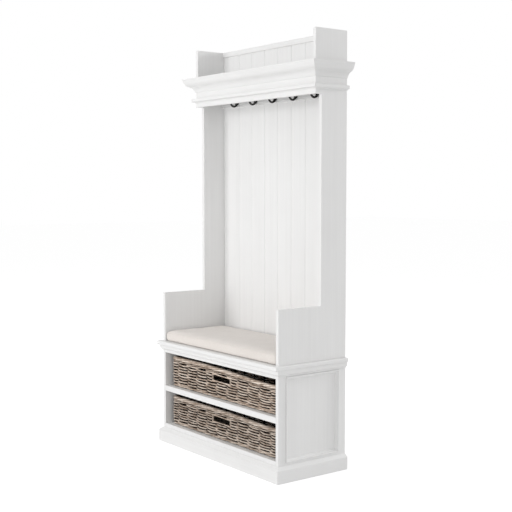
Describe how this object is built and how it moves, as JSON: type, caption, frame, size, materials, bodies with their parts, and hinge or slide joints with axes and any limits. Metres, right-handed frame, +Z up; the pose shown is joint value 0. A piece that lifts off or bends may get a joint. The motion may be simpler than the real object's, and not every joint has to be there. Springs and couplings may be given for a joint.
{
  "type": "hall tree with hooks",
  "caption": "Hall tree: storage bench with seat cushion and sliding woven baskets, boarded back, coat hooks, and a hat shelf behind a frieze with crown moulding.",
  "frame": {"origin": "centre of the footprint, on the floor, with the back plane at y = +0.2 m", "axes": "+Z up, +X to the right of a person facing the piece, the front faces -Y"},
  "size_m": [1, 0.4, 1.9],
  "materials": {
    "painted_wood": "white satin paint over wood with a faint grain",
    "black_iron": "black powder coat, satin",
    "cushion_fabric": "cream plain-woven linen-look fabric",
    "rattan": "grey-brown washed rattan, matt"
  },
  "bodies": {
    "carcass": {"back_batten_lower": "painted_wood", "back_batten_middle": "painted_wood", "back_batten_upper": "painted_wood", "back_cap_rail": "painted_wood", "back_plank_1": "painted_wood", "back_plank_2": "painted_wood", "back_plank_3": "painted_wood", "back_plank_4": "painted_wood", "back_plank_5": "painted_wood", "back_plank_6": "painted_wood", "back_plank_7": "painted_wood", "back_plank_8": "painted_wood", "base_back_rail": "painted_wood", "base_front_rail": "painted_wood", "bench_back_panel": "painted_wood", "bench_left_back_stile": "painted_wood", "bench_left_bead": "painted_wood", "bench_left_bottom_rail": "painted_wood", "bench_left_front_stile": "painted_wood", "bench_left_panel": "painted_wood", "bench_left_top_rail": "painted_wood", "bench_right_back_stile": "painted_wood", "bench_right_bead": "painted_wood", "bench_right_bottom_rail": "painted_wood", "bench_right_front_stile": "painted_wood", "bench_right_panel": "painted_wood", "bench_right_top_rail": "painted_wood", "bottom_board": "painted_wood", "coat_hook_1": "black_iron", "coat_hook_2": "black_iron", "coat_hook_3": "black_iron", "coat_hook_4": "black_iron", "coat_hook_5": "black_iron", "crown_front": "painted_wood", "crown_left": "painted_wood", "crown_right": "painted_wood", "frieze_bead_front": "painted_wood", "frieze_bead_left": "painted_wood", "frieze_bead_right": "painted_wood", "frieze_board": "painted_wood", "hat_shelf": "painted_wood", "hook_rail": "painted_wood", "middle_shelf": "painted_wood", "plinth_front": "painted_wood", "plinth_left": "painted_wood", "plinth_right": "painted_wood", "seat_board": "painted_wood", "seat_cushion": "cushion_fabric", "seat_front_rail": "painted_wood", "seat_moulding_front": "painted_wood", "seat_moulding_left": "painted_wood", "seat_moulding_right": "painted_wood", "upper_side_left": "painted_wood", "upper_side_right": "painted_wood"},
    "lower_basket": {"lower_basket_body": "rattan", "lower_basket_border": "rattan"},
    "upper_basket": {"upper_basket_body": "rattan", "upper_basket_border": "rattan"}
  },
  "joints": [
    {"name": "lower_basket_slide", "type": "slide", "parent": "carcass", "child": "lower_basket", "axis": [0, -1, 0], "range_m": [0, 0.28]},
    {"name": "upper_basket_slide", "type": "slide", "parent": "carcass", "child": "upper_basket", "axis": [0, -1, 0], "range_m": [0, 0.28]}
  ]
}
